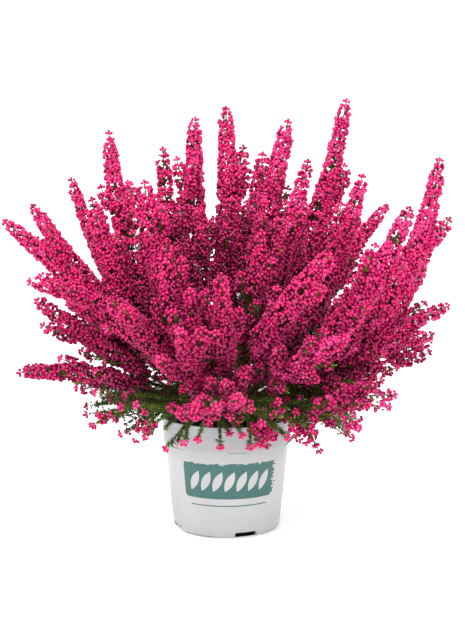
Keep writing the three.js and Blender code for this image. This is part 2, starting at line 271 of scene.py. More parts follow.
for vert in bm.verts:
    radius = vert.co.xy.length / MM
    z = vert.co.z / MM
    if radius < COLLAR_SKIN[0] or not COLLAR_SKIN[1] < z < COLLAR_SKIN[2]:
        continue
    angle = math.degrees(math.atan2(vert.co.x, -vert.co.y))
    pitch = 360 / PANELS
    off_middle = abs((angle - FIRST_PANEL_MIDDLE + pitch / 2) % pitch - pitch / 2)
    half = PANEL_HALF_AT_FOOT \
        + (PANEL_HALF_AT_TOP - PANEL_HALF_AT_FOOT) * (z - COLLAR_WALL_FROM) / PANEL_RISE
    inward = PANEL_DEPTH * smooth_step(off_middle, half - 0.6, half + 0.8)
    inward *= 1 - smooth_step(z, 107.8, 109.2)
    vert.co.xy *= (radius - inward) / radius
pot = new_object("nursery_pot", bm)

# %% Slots and drain holes
SLOT_SETS = 4
SLOTS = [(21, 22.5, 5.4), (-31, 32, 1.5)]
SLOT_REACH = (40, 60)
DRAIN_HOLES = 8
DRAIN_RADIUS = 3.5
DRAIN_RING = 36

bm = bmesh.new()
for number in range(SLOT_SETS):
    for angle, width, height in SLOTS:
        depth = SLOT_REACH[1] - SLOT_REACH[0]
        place = Matrix.Rotation(math.radians(angle + 360 / SLOT_SETS * number), 4, "Z")
        place = place @ Matrix.Translation((0, -sum(SLOT_REACH) / 2 * MM, 0))
        place = place @ Matrix.Diagonal((width * MM, depth * MM, 2 * height * MM, 1))
        bmesh.ops.create_cube(bm, size=1, matrix=place)
upright = [e for e in bm.edges if abs(e.verts[0].co.z - e.verts[1].co.z) < 1e-7
           and max(v.co.z for v in e.verts) > 4 * MM
           and abs((e.verts[0].co.xy.length - e.verts[1].co.xy.length)) > 10 * MM]
bmesh.ops.bevel(bm, geom=upright, affect="EDGES", offset=1.4 * MM, segments=4, profile=0.5, material=-1)
for number in range(DRAIN_HOLES):
    turn = Matrix.Rotation(2 * math.pi * number / DRAIN_HOLES, 4, "Z")
    place = turn @ Matrix.Translation((DRAIN_RING * MM, 0, (FLOOR_UNDERSIDE + WALL / 2) * MM))
    bmesh.ops.create_cone(bm, cap_ends=True, segments=24, radius1=DRAIN_RADIUS * MM,
                          radius2=DRAIN_RADIUS * MM, depth=4 * WALL * MM, matrix=place)
cutters = new_object("slot_cutters", bm)


def bake_modifiers(obj):
    """Replaces the object's mesh with the shape its modifiers give."""
    evaluated = obj.evaluated_get(bpy.context.evaluated_depsgraph_get())
    shaped = bpy.data.meshes.new_from_object(evaluated)
    obj.modifiers.clear()
    obj.data = shaped


cut = pot.modifiers.new("slots", "BOOLEAN")
cut.operation = "DIFFERENCE"
cut.solver = "EXACT"
cut.object = cutters
bake_modifiers(pot)
bpy.data.objects.remove(cutters)
pot.data.shade_smooth()
pot.data.set_sharp_from_angle(angle=math.radians(32))
print("pot:", len(pot.data.polygons), "faces")

# %% [markdown]
# ## Pot plastic and its print
# Injection-moulded polypropylene has a satin skin: a broad soft sheen and a very fine moulded grain. The
# printed panel on the front is one flat spot colour. On this model it is a plain rounded teal panel with a
# row of plain leaf shapes and one plain line below. It is drawn from the angle round the pot and the
# height, both read from Object coordinates, so it wraps the cone without a UV map.

# %% Pot material
PRINT_MIDDLE = 3
PRINT_HALF_WIDTH = 47
PRINT_HEIGHT_RANGE = (40, 75)
PRINT_CORNER = 4
LEAF_PITCH = 11.5
LEAF_LEAN = math.radians(24)
LEAF_HALF_LENGTH = 11
BRUSH_ROUGHNESS = 1.6
LEAF_HALF_WIDTH = 4.1
LEAVES = 7
PRINT_RADIUS = 58
LINE_HEIGHT = 33
LINE_HALF_LENGTH = 40

pot_material, tree, shader = new_material("Injection moulded polypropylene, light grey", {"IOR": 1.49})
place = add(tree, "TexCoord").outputs["Object"]
apart = add(tree, "SeparateXYZ", {0: place})
backwards = add(tree, "Math", {0: apart.outputs["Y"], 1: -1}, operation="MULTIPLY")
angle = add(tree, "Math", {0: apart.outputs["X"], 1: backwards}, operation="ARCTAN2")
flat = add(tree, "VectorMath", {0: place, 1: (1, 1, 0)}, operation="MULTIPLY")
radius = add(tree, "VectorMath", {0: flat}, operation="LENGTH").outputs["Value"]
height = add(tree, "Math", {0: apart.outputs["Z"], 1: 1000}, operation="MULTIPLY")
# Distance along the wall from the middle of the print, in millimetres at the print's mean radius
along = add(tree, "Math", {0: angle, 1: PRINT_RADIUS, 2: -PRINT_MIDDLE}, operation="MULTIPLY_ADD")
print_mid_height = sum(PRINT_HEIGHT_RANGE) / 2
print_half_height = (PRINT_HEIGHT_RANGE[1] - PRINT_HEIGHT_RANGE[0]) / 2
above = add(tree, "Math", {0: height, 1: print_mid_height}, operation="SUBTRACT")

# %% Brushed panel mask
# The panel looks painted with a dry brush: its top edge and its right end are ragged, the rest is clean.
bristles = add(tree, "Mapping", {"Vector": place, "Scale": (190, 190, 520)})
ragged = add(tree, "TexNoise", {"Vector": bristles, "Scale": 1, "Detail": 4}).outputs["Fac"]
ragged = add(tree, "Math", {0: ragged, 1: 0.5}, operation="SUBTRACT")
at_top = add(tree, "MapRange", {
    "Value": above, "From Min": 8, "From Max": 15, "To Max": 4 * BRUSH_ROUGHNESS})
at_end = add(tree, "MapRange", {
    "Value": along, "From Min": 32, "From Max": 46, "To Max": 14 * BRUSH_ROUGHNESS})
top_shift = add(tree, "Math", {0: ragged, 1: at_top}, operation="MULTIPLY")
end_shift = add(tree, "Math", {0: ragged, 1: at_end}, operation="MULTIPLY")
out_along = add(tree, "Math", {0: along}, operation="ABSOLUTE")
out_above = add(tree, "Math", {0: above}, operation="ABSOLUTE")
brushed_along = add(tree, "Math", {0: out_along, 1: end_shift}, operation="ADD")
brushed_above = add(tree, "Math", {0: out_above, 1: top_shift}, operation="ADD")
past = add(tree, "CombineXYZ", {
    0: add(tree, "Math", {0: brushed_along, 1: PRINT_HALF_WIDTH - PRINT_CORNER}, operation="SUBTRACT"),
    1: add(tree, "Math", {0: brushed_above, 1: print_half_height - PRINT_CORNER}, operation="SUBTRACT"),
})
past = add(tree, "VectorMath", {0: past, 1: (0, 0, 0)}, operation="MAXIMUM")
from_corner = add(tree, "VectorMath", {0: past}, operation="LENGTH").outputs["Value"]
panel = add(tree, "MapRange", {
    "Value": from_corner, "From Min": PRINT_CORNER + 0.2, "From Max": PRINT_CORNER - 0.2})

# %% Leaf row and line masks
wrapped = add(tree, "Math", {
    0: add(tree, "Math", {0: along, 1: LEAF_PITCH / 2}, operation="ADD"),
    1: LEAF_PITCH, 2: 0}, operation="WRAP")
local = add(tree, "Math", {0: wrapped, 1: LEAF_PITCH / 2}, operation="SUBTRACT")
across = add(tree, "Math", {
    0: local, 1: math.cos(LEAF_LEAN),
    2: add(tree, "Math", {0: above, 1: -math.sin(LEAF_LEAN)}, operation="MULTIPLY"),
}, operation="MULTIPLY_ADD")
up_leaf = add(tree, "Math", {
    0: local, 1: math.sin(LEAF_LEAN),
    2: add(tree, "Math", {0: above, 1: math.cos(LEAF_LEAN)}, operation="MULTIPLY"),
}, operation="MULTIPLY_ADD")
share = add(tree, "Math", {0: up_leaf, 1: LEAF_HALF_LENGTH}, operation="DIVIDE")
bulge = add(tree, "Math", {
    0: add(tree, "Math", {0: share, 1: share}, operation="MULTIPLY"),
    1: -LEAF_HALF_WIDTH, 2: LEAF_HALF_WIDTH}, operation="MULTIPLY_ADD")
inside_leaf = add(tree, "Math", {
    0: bulge, 1: add(tree, "Math", {0: across}, operation="ABSOLUTE"),
}, operation="SUBTRACT")
leaf = add(tree, "MapRange", {"Value": inside_leaf, "From Min": -0.15, "From Max": 0.25})
row = add(tree, "Math", {0: out_along, 1: LEAF_PITCH * LEAVES / 2}, operation="LESS_THAN")
leaf = add(tree, "Math", {0: leaf, 1: row}, operation="MULTIPLY")
line_off = add(tree, "Math", {0: height, 1: LINE_HEIGHT}, operation="SUBTRACT")
line_off = add(tree, "Math", {0: line_off}, operation="ABSOLUTE")
thin = add(tree, "MapRange", {"Value": line_off, "From Min": 0.75, "From Max": 0.4})
thin_row = add(tree, "Math", {0: out_along, 1: LINE_HALF_LENGTH}, operation="LESS_THAN")
thin = add(tree, "Math", {0: thin, 1: thin_row}, operation="MULTIPLY")

# %% Print only on the outside, with ink that is slightly uneven
not_leaf = add(tree, "Math", {0: 1, 1: leaf}, operation="SUBTRACT")
ink = add(tree, "Math", {0: panel, 1: not_leaf}, operation="MULTIPLY")
ink = add(tree, "Math", {0: ink, 1: thin}, operation="MAXIMUM")
slope = (WALL_TOP_RADIUS - FOOT_RADIUS) / (COLLAR_FROM - FOOT_CORNER)
wall_here = add(tree, "Math", {
    0: height, 1: slope * MM, 2: (FOOT_RADIUS - slope * FOOT_CORNER - 0.7) * MM},
    operation="MULTIPLY_ADD")
outside = add(tree, "Math", {0: radius, 1: wall_here}, operation="GREATER_THAN")
ink = add(tree, "Math", {0: ink, 1: outside}, operation="MULTIPLY")
mottle = add(tree, "TexNoise", {"Vector": place, "Scale": 260, "Detail": 3}).outputs["Fac"]
teal = add(tree, "ValToRGB", {0: mottle}, stops=[(0.3, "#28564f"), (0.7, "#2f625c")])
clouds = add(tree, "TexNoise", {"Vector": place, "Scale": 18, "Detail": 4}).outputs["Fac"]
grey = add(tree, "ValToRGB", {0: clouds}, stops=[(0.3, "#abacad"), (0.7, "#b3b4b5")])
# The collar is painted darker than the wall: painted shade, for the shadow the plant casts on it.
collar_painted_shade = add(tree, "MapRange", {
    "Value": height, "From Min": COLLAR_FROM - 14, "From Max": COLLAR_FROM + 4,
    "To Max": 0.75})
grey = add(tree, "Mix", {"Factor": collar_painted_shade, "A": grey, "B": linear("#98999c")}, data_type="RGBA")
# A little dried peat dust lies low on the foot.
dust_height = add(tree, "MapRange", {"Value": height, "From Min": 9, "From Max": 0, "To Max": 0.22})
dust = add(tree, "Math", {0: dust_height, 1: mottle}, operation="MULTIPLY")
dusty = add(tree, "Mix", {
    "Factor": dust, "A": grey.outputs["Result"], "B": linear("#8d8175")}, data_type="RGBA")
printed = add(tree, "Mix", {"Factor": ink, "A": dusty.outputs["Result"], "B": teal}, data_type="RGBA")
feed(shader, "Base Color", printed.outputs["Result"])
rough = add(tree, "MapRange", {
    "Value": mottle, "From Min": 0.3, "From Max": 0.7, "To Min": 0.33, "To Max": 0.42})
feed(shader, "Roughness", rough)
# Moulded grain is about 0.2 mm. It is drawn at about 0.6 mm, so that it just shows.
grain = add(tree, "TexNoise", {"Vector": place, "Scale": 1600, "Detail": 2}).outputs["Fac"]
bump = add(tree, "Bump", {"Strength": 0.12, "Distance": 0.0002, "Height": grain})
feed(shader, "Normal", bump)
pot.data.materials.clear()
pot.data.materials.append(pot_material)

# %% [markdown]
# Pots like this are pressed from two-layer sheet, light outside and near-black inside, which keeps light
# from the roots. So every face that looks inwards, and the floor, takes a second, dark plastic.

# %% Dark inner layer
inner_material, tree, shader = new_material("Black inner layer of polypropylene", {
    "Roughness": 0.6, "IOR": 1.49})
place = add(tree, "TexCoord").outputs["Object"]
haze = add(tree, "TexNoise", {"Vector": place, "Scale": 120, "Detail": 4}).outputs["Fac"]
black = add(tree, "ValToRGB", {0: haze}, stops=[(0.3, "#161516"), (0.7, "#262324")])
feed(shader, "Base Color", black)
pot.data.materials.append(inner_material)
for face in pot.data.polygons:
    middle = face.center
    radius = middle.xy.length / MM
    looks_in = radius > 1 and face.normal.xy.dot(middle.xy.normalized()) < -0.3
    is_floor = radius < 50.6 and middle.z < 12 * MM
    face.material_index = 1 if looks_in or is_floor else 0
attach(pot, "root")
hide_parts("pot")

# %% [markdown]
# ## Peat
# The pot is filled with dark, slightly fibrous peat, and only a dark crumbly top can ever be seen. A spun
# profile with many rings on top is roughened with noise of two sizes: crumbs and low lumps.

# %% Peat root ball
PEAT_TOP = 100
PEAT_STEPS = 192
PEAT_GAP = 0.3
inside = WALL + PEAT_GAP
profile = [(0, floor_top + PEAT_GAP), (outer_wall(floor_top) - inside - 2.2, floor_top + PEAT_GAP)]
profile += [(outer_wall(floor_top) - inside, floor_top + 2.5), (outer_wall(86) - inside, 86.75)]
profile += [(60.8, 89.1), (60.8, PEAT_TOP - 4), (59.8, PEAT_TOP - 2.2)]
profile += [(r, PEAT_TOP - max(0, (r - 52) * 0.18)) for r in range(58, 0, -2)]
profile += [(0, PEAT_TOP)]
bm = spun(profile, PEAT_STEPS, 0.00005)
bmesh.ops.recalc_face_normals(bm, faces=bm.faces[:])
for vert in bm.verts:
    if vert.co.z < 95 * MM:
        continue
    lumps = noise.noise(vert.co * 90) * 1.3 + noise.noise(vert.co * 330) * 1.1
    vert.co.z += (lumps - 0.6) * MM
peat = new_object("peat", bm)

peat_material, tree, shader = new_material("Milled peat, damp", {"Roughness": 0.92})
place = add(tree, "TexCoord").outputs["Object"]
crumbs = add(tree, "TexVoronoi", {"Vector": place, "Scale": 420}).outputs["Distance"]
fibres = add(tree, "TexNoise", {"Vector": place, "Scale": 240, "Detail": 6}).outputs["Fac"]
brown = add(tree, "ValToRGB", {0: fibres}, stops=[
    (0.3, "#17100c"), (0.52, "#2c1f17"), (0.66, "#46331f"), (0.75, "#7a6040")])
feed(shader, "Base Color", brown)
bump = add(tree, "Bump", {"Strength": 0.8, "Distance": 0.0012, "Height": crumbs})
feed(shader, "Normal", bump)
peat.data.materials.append(peat_material)
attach(peat, "root")
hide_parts("peat_root_ball")

# %% [markdown]
# ## Woody base stems
# Old heath wood is thin, grey-brown and forked, with bark that splits lengthwise. The CAD forks are already
# the right route, so a copy is merged, rounded with one level of subdivision and given bark.

# %% Woody stems
bark_material, tree, shader = new_material("Heath bark", {"Roughness": 0.85})
place = add(tree, "TexCoord").outputs["Object"]
stretched = add(tree, "Mapping", {"Vector": place, "Scale": (900, 900, 180)})
splits = add(tree, "TexNoise", {"Vector": stretched, "Scale": 1, "Detail": 5}).outputs["Fac"]
wood = add(tree, "ValToRGB", {0: splits}, stops=[
    (0.32, "#2a1c15"), (0.5, "#5b4130"), (0.68, "#8b6f55")])
feed(shader, "Base Color", wood)
bump = add(tree, "Bump", {"Strength": 0.7, "Distance": 0.0006, "Height": splits})
feed(shader, "Normal", bump)

for name in sorted(n for n in nodes if n.startswith("woody_stem_")):
    bm = bmesh.new()
    bm.from_mesh(nodes[name].data)
    bmesh.ops.remove_doubles(bm, verts=bm.verts[:], dist=0.00001)
    stem = new_object(name.replace("woody_stem", "old_wood"), bm, bark_material)
    rounding = stem.modifiers.new("rounding", "SUBSURF")
    rounding.levels = 1
    rounding.render_levels = 1
    bake_modifiers(stem)
    stem.data.shade_smooth()
    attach(stem, "root")
    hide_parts(name)

# %% [markdown]
# ## One bell, one needle
# A heath bell is a little urn: round near its stalk and drawn in at the mouth. It repeats tens of thousands
# of times, so it has twenty triangles, from a sphere of five segments and three rings. Colour comes from a
# UV map: across the map each of sixteen columns is one tone, and up the map runs from stalk to mouth. Many
# bells may share a column, because the colour depends on nothing but the map.

# %% Templates for bells and needles
TONES = 16
BELL_LENGTH = 4.1
BELL_RADIUS = 1.92
MAP = "OFBake"
MAP_LOW = 0.02
MAP_HIGH = 0.98


def wrap_map(bm, tone):
    """Maps a small shape that stands along z: angle across its tone's column, height up the column."""
    layer = bm.loops.layers.uv.new(MAP)
    bottom = min(v.co.z for v in bm.verts)
    top = max(v.co.z for v in bm.verts)
    for face in bm.faces:
        middle = face.calc_center_median()
        facing = math.atan2(middle.y, middle.x)
        for loop in face.loops:
            point = loop.vert.co
            turn = 0
            if point.xy.length > 1e-7:
                turn = (math.atan2(point.y, point.x) - facing + math.pi) % (2 * math.pi) - math.pi
            spread = (facing + turn) / (2 * math.pi) + 0.5
            share = min(max(0.1 + 0.8 * spread, MAP_LOW), MAP_HIGH)
            height = MAP_LOW + (MAP_HIGH - MAP_LOW) * (point.z - bottom) / (top - bottom)
            loop[layer].uv = ((tone + share) / TONES, height)


def template(name, bm):
    mesh = bpy.data.meshes.new(name)
    bm.to_mesh(mesh)
    bm.free()
    mesh.shade_smooth()
    return mesh


def bell_template(tone):
    bm = bmesh.new()
    bmesh.ops.create_uvsphere(bm, u_segments=5, v_segments=3, radius=1)
    for vert in bm.verts:
        latitude = round(vert.co.z, 1)
        ring = vert.co.xy.length
        height, radius = {-1.0: (0, 0), -0.5: (0.3, 1), 0.5: (0.78, 0.8), 1.0: (0.98, 0)}[latitude]
        scale = radius * BELL_RADIUS * MM / ring if ring > 0.01 else 0
        vert.co = (vert.co.x * scale, vert.co.y * scale, height * BELL_LENGTH * MM)
    wrap_map(bm, tone)
    return template(f"bell_{tone}", bm)


def needle_template(tone):
    """A needle, a thin three-sided spike one unit long and one unit across, closed at its foot."""
    bm = bmesh.new()
    bmesh.ops.create_cone(bm, cap_ends=True, segments=3, radius1=0.5, radius2=0, depth=1)
    bmesh.ops.translate(bm, verts=bm.verts[:], vec=(0, 0, 0.5))
    wrap_map(bm, tone)
    return template(f"needle_{tone}", bm)


def stamp(bm, mesh, matrix):
    copy = mesh.copy()
    copy.transform(matrix)
    bm.from_mesh(copy)
    bpy.data.meshes.remove(copy)


bells = [bell_template(tone) for tone in range(TONES)]
spikes = [needle_template(tone) for tone in range(TONES)]
print("bell:", len(bells[0].vertices), "vertices")

# %% [markdown]
# ## Clusters and whorls
# The bells hang in fours at the end of very short side twigs, and the needles stand in whorls, here of
# six. So the templates that are stamped along a shoot are a whole cluster and a whole whorl, in a few
# shapes each.

# %% Cluster and whorl templates
CLUSTER_SHAPES = 6
FAN_STALK_TONE = 3
dice = random.Random(7)


def cluster_template(tone, shape):
    bm = bmesh.new()
    around = 3 if shape % 2 else 4
    lean = dice.uniform(48, 60)
    for number in range(around + 1):
        turn = Matrix.Rotation(2 * math.pi * number / around + dice.uniform(-0.3, 0.3), 4, "Z")
        tilt = dice.uniform(0, 16) if number == around else lean + dice.uniform(-10, 10)
        if number == around and around == 4:
            continue
        size = dice.uniform(0.86, 1.08)
        matrix = turn @ Matrix.Rotation(math.radians(tilt), 4, "Y")
        matrix = matrix @ Matrix.Translation((0, 0, 0.8 * MM)) @ Matrix.Scale(size, 4)
        shade = min(max(tone + dice.choice((-2, -1, 0, 0, 1, 2)), 0), TONES - 1)
        stamp(bm, bells[shade], matrix)
    return template(f"cluster_{tone}_{shape}", bm)


def fan_template(tone):
    """The open fan of small bells at a shoot's very tip."""
    bm = bmesh.new()
    for number in range(6):
        turn = Matrix.Rotation(2 * math.pi * number / 5 + dice.uniform(-0.2, 0.2), 4, "Z")
        tilt = dice.uniform(0, 10) if number == 5 else dice.uniform(58, 80)
        leaned = turn @ Matrix.Rotation(math.radians(tilt), 4, "Y")
        matrix = leaned @ Matrix.Translation((0, 0, 1.6 * MM)) @ Matrix.Scale(dice.uniform(0.7, 0.9), 4)
        stamp(bm, bells[min(tone + dice.choice((-1, 0, 1)), TONES - 1)], matrix)
        stamp(bm, spikes[FAN_STALK_TONE], leaned @ Matrix.Diagonal((0.6 * MM, 0.6 * MM, 2.2 * MM, 1)))
    return template(f"fan_{tone}", bm)


def whorl_template(tone):
    bm = bmesh.new()
    for number in range(6):
        turn = Matrix.Rotation(math.pi / 3 * number + dice.uniform(-0.3, 0.3), 4, "Z")
        matrix = turn @ Matrix.Rotation(math.radians(dice.uniform(30, 62)), 4, "Y")
        matrix = matrix @ Matrix.Diagonal((1.0 * MM, 1.0 * MM, dice.uniform(3.8, 5.4) * MM, 1))
        stamp(bm, spikes[tone], matrix)
    return template(f"whorl_{tone}", bm)


NEEDLE_TONES = 12
clusters = [[cluster_template(tone, shape) for shape in range(CLUSTER_SHAPES)] for tone in range(TONES)]
whorls = [[whorl_template(tone) for _ in range(3)] for tone in range(NEEDLE_TONES)]
fans = [fan_template(tone) for tone in range(6, 14)]
print("clusters:", TONES * CLUSTER_SHAPES, "whorls:", 3 * NEEDLE_TONES)

# %% [markdown]
# ## Petals and greenery
# Heath petals are waxy, so they are coloured strongly and still have a small soft highlight. The mouth of
# each bell is paler, partly its own pale lip and partly a painted highlight, and the end by the stalk is
# darker. Needles run from brown-green to bright olive.

# %% Petal and green materials
def read_map(tree):
    """Reads the UV map: the tone from 0 to 1, and the height up the map."""
    flat_map = add(tree, "UVMap", uv_map=MAP)
    apart = add(tree, "SeparateXYZ", {0: flat_map})
    column = add(tree, "Math", {0: apart.outputs["X"], 1: TONES}, operation="MULTIPLY")
    column = add(tree, "Math", {0: column}, operation="FLOOR")
    tone = add(tree, "Math", {0: column, 1: TONES - 1}, operation="DIVIDE")
    return tone, apart.outputs["Y"]


petal_material, tree, shader = new_material("Waxy heath petals", {
    "Roughness": 0.28, "Specular IOR Level": 0.18, "IOR": 1.42})
tone, up_map = read_map(tree)
rose = add(tree, "ValToRGB", {0: tone}, stops=[
    (0.0, "#660230"), (0.22, "#88023e"), (0.45, "#ac024e"), (0.7, "#c80c5e"), (0.86, "#de2c74"),
    (1.0, "#c2387e")])
# The pale mouth is partly the bell's own paler lip and partly a painted highlight, as mouths face outwards.
mouth = add(tree, "ValToRGB", {0: up_map}, stops=[
    (0.0, "#000000"), (0.62, "#101010"), (0.88, "#989898"), (1.0, "#808080")])
lit = add(tree, "Mix", {"Factor": mouth, "A": rose, "B": linear("#ee649c")}, data_type="RGBA")
stalk_end = add(tree, "MapRange", {"Value": up_map, "From Min": 0.32, "From Max": 0.04, "To Max": 0.5})
petal = add(tree, "Mix", {
    "Factor": stalk_end, "A": lit.outputs["Result"], "B": linear("#5c0424")}, data_type="RGBA")
feed(shader, "Base Color", petal.outputs["Result"])

green_material, tree, shader = new_material("Heath needles and stalks", {
    "Roughness": 0.5, "Specular IOR Level": 0.25, "IOR": 1.45})
tone, up_map = read_map(tree)
leafy = add(tree, "ValToRGB", {0: tone}, stops=[
    (0.0, "#22260e"), (0.3, "#334518"), (0.55, "#506a24"), (0.72, "#789234"),
    (0.8, "#4e3020"), (0.87, "#6e3c28"), (0.94, "#93703a"), (1.0, "#b8924e")])
tip = add(tree, "MapRange", {"Value": up_map, "From Min": 0.3, "From Max": 1.0, "To Max": 0.35})
leafy = add(tree, "Mix", {"Factor": tip, "A": leafy, "B": linear("#9aa04a")}, data_type="RGBA")
feed(shader, "Base Color", leafy.outputs["Result"])

# %% [markdown]
# ## Reading a CAD sleeve
# Each shoot's CAD solid is a bent sleeve of rings. Walking over its merged mesh from the tip, one edge at a
# time, meets the rings one by one, so their middles give the shoot's line and their size gives its girth.

# %% Sleeve reader
CROWN = Vector((0, 0, 0.122))


def read_sleeve(node):
    bm = bmesh.new()
    bm.from_mesh(nodes[node].data)
    bmesh.ops.remove_doubles(bm, verts=bm.verts[:], dist=0.00001)
    start = max(bm.verts, key=lambda v: (v.co - CROWN).length)
    seen = {start}
    level = [start]
    rings = [(start.co.copy(), 0.0)]
    while level:
        following = []
        for vert in level:
            for edge in vert.link_edges:
                other = edge.other_vert(vert)
                if other not in seen:
                    seen.add(other)
                    following.append(other)
        if len(following) > 2:
            middle = sum((v.co for v in following), Vector()) / len(following)
            rings.append((middle, sum((v.co - middle).length for v in following) / len(following)))
        level = following
    bm.free()
    return rings[::-1]


def smooth_line(points, values, spacing):
    """A smooth line through the points, in even steps, with the values carried along it."""
    fine, carried = [], []
    for i in range(len(points) - 1):
        before = points[max(i - 1, 0)]
        a, b = points[i], points[i + 1]
        after = points[min(i + 2, len(points) - 1)]
        for k in range(8):
            t = k / 8
            fine.append(0.5 * (2 * a + (b - before) * t + (2 * before - 5 * a + 4 * b - after) * t * t
                               + (3 * a - before - 3 * b + after) * t ** 3))
            carried.append(values[i] + (values[i + 1] - values[i]) * t)
    fine.append(points[-1])
    carried.append(values[-1])
    reach = [0.0]
    for a, b in zip(fine, fine[1:]):
        reach.append(reach[-1] + (b - a).length)
    count = max(2, round(reach[-1] / spacing))
    line, girth, j = [], [], 0
    for n in range(count + 1):
        wanted = reach[-1] * n / count
        while j < len(reach) - 2 and reach[j + 1] < wanted:
            j += 1
        share = (wanted - reach[j]) / max(reach[j + 1] - reach[j], 1e-9)
        line.append(fine[j].lerp(fine[j + 1], share))
        girth.append(carried[j] + (carried[j + 1] - carried[j]) * share)
    return line, girth


def frames_along(line):
    """For each point: the direction of the line and two directions across it that don't twist."""
    result = []
    side = None
    for i in range(len(line)):
        along = (line[min(i + 1, len(line) - 1)] - line[max(i - 1, 0)]).normalized()
        if side is None:
            side = along.orthogonal().normalized()
        side = (side - along * side.dot(along)).normalized()
        result.append((along, side, along.cross(side)))
    return result


# %% [markdown]
# ## Gaps and green places
# From the front, daylight comes through a few gaps between the spikes, and in some places the bells leave
# bare green and dark hollows. Both are circles on the upright plane through the pot's axis.

# %% Gaps and green places
# x, height and radius of each circle
DAYLIGHT = [(-149, 289, 8), (-141, 272, 7), (-133, 256, 6), (-16, 353, 7), (83, 349, 6),
            (149, 287, 7), (159, 298, 7), (-160, 179, 4)]
GREEN_PLACES = [(70, 125, 16), (92, 134, 9), (107, 160, 8), (-15, 126, 8), (25, 217, 9), (16, 232, 7),
                (-121, 128, 15), (-82, 118, 18), (-93, 292, 6), (-90, 278, 6), (38, 112, 12), (-56, 208, 7),
                (86, 196, 8), (79, 178, 8), (-17, 168, 7)]


def seen_inside(point, circles, margin=0):
    """True when a point, seen from the camera, lies in one of the circles."""
    scale = CAMERA_PLACE[1] / (CAMERA_PLACE[1] - point.y)
    x = (CAMERA_PLACE[0] + (point.x - CAMERA_PLACE[0]) * scale) / MM
    z = (CAMERA_PLACE[2] + (point.z - CAMERA_PLACE[2]) * scale) / MM
    return any(math.hypot(x - middle, z - level) < size + margin for middle, level, size in circles)


# %% [markdown]
# ## Growing one twig
# Every twig is grown the same way: a bent stalk, needles on its lower part, and whorls of bell clusters up
# to the tip. Near the tip the whorls stand further apart, so the pale stalk and the daylight show between.

# %% Twig grower
STEP = 1.3
WHORL_GAP = 4.3
TIP_GAPS = [8.0, 6.2, 5.4]
CLUSTER_DEPTH = 3.2
CLUSTER_WIDTH = 6.6
BARE_INSIDE = (0.22, 0.45)
LOW_GREEN = 112
LOW_ENDS = 162
BARE_PATCH = 0.44
FAR_OUT = (140, 185)
LOW_MAIN = (122, 178)
SHADED_INSIDE = (0.32, 0.9)
SHADED_LOW = (130, 320)
LOW_TONE = 2.4
HIGH_TONE = 10.9
REACH = (217, 196, 303)
PURPLE = TONES - 1
NEEDLE_GAP = 2.1
FAN_BACK = 2.6
FULL_TURN = 6.28
QUARTER_TURN = 1.57
GOLDEN_ANGLE = 2.399
HANGING_CHANCE = 0.9
HOLLOW_SHARE = 0.15
TUFT_CHANCE = 0.6
HANGING_LIGHT = 0.9
SIDE_TWIG_PAINTED_SHADE = 1.5
TONE_SPREAD = 2.2


def stalk(bm, line, across, radii, tone):
    """A closed round stalk along the line: a cone cut into rings, mapped, then bent to the line."""
    part = bmesh.new()
    sides = 5
    bmesh.ops.create_cone(part, cap_ends=True, segments=sides, radius1=1, radius2=1, depth=1)
    bmesh.ops.translate(part, verts=part.verts[:], vec=(0, 0, 0.5))
    uprights = [e for e in part.edges if abs(e.verts[0].co.z - e.verts[1].co.z) > 0.5]
    picks = list(range(0, len(line), 4))
    if picks[-1] != len(line) - 1:
        picks.append(len(line) - 1)
    bmesh.ops.subdivide_edges(part, edges=uprights, cuts=len(picks) - 2)
    wrap_map(part, tone)
    for vert in part.verts:
        pick = picks[min(round(vert.co.z * (len(picks) - 1)), len(picks) - 1)]
        _, side, other = across[pick]
        vert.co = line[pick] + (side * vert.co.x + other * vert.co.y) * radii[pick]
    mesh = template("stalk", part)
    bm.from_mesh(mesh)
    bpy.data.meshes.remove(mesh)


def aimed(place, direction, turn=0.0):
    """A matrix that puts a template's foot at the place and its z axis along the direction."""
    return Matrix.Translation(place) @ direction.to_track_quat("Z", "Y").to_matrix().to_4x4() \
        @ Matrix.Rotation(turn, 4, "Z")


def outness(place):
    """How far out in the plant a place lies: 0 at the crown and about 1 at the tips of the long shoots."""
    off = (place - CROWN) / MM
    return Vector((off.x / REACH[0], off.y / REACH[1], off.z / REACH[2])).length


def needle_tone(place, middle, rng):
    """Needles deep in the plant are darker: painted shade."""
    inside = 1 - smooth_step(outness(place), 0.25, 0.7)
    return min(max(int(rng.gauss(middle - 4 * inside, 2.4)), 0), NEEDLE_TONES - 1)


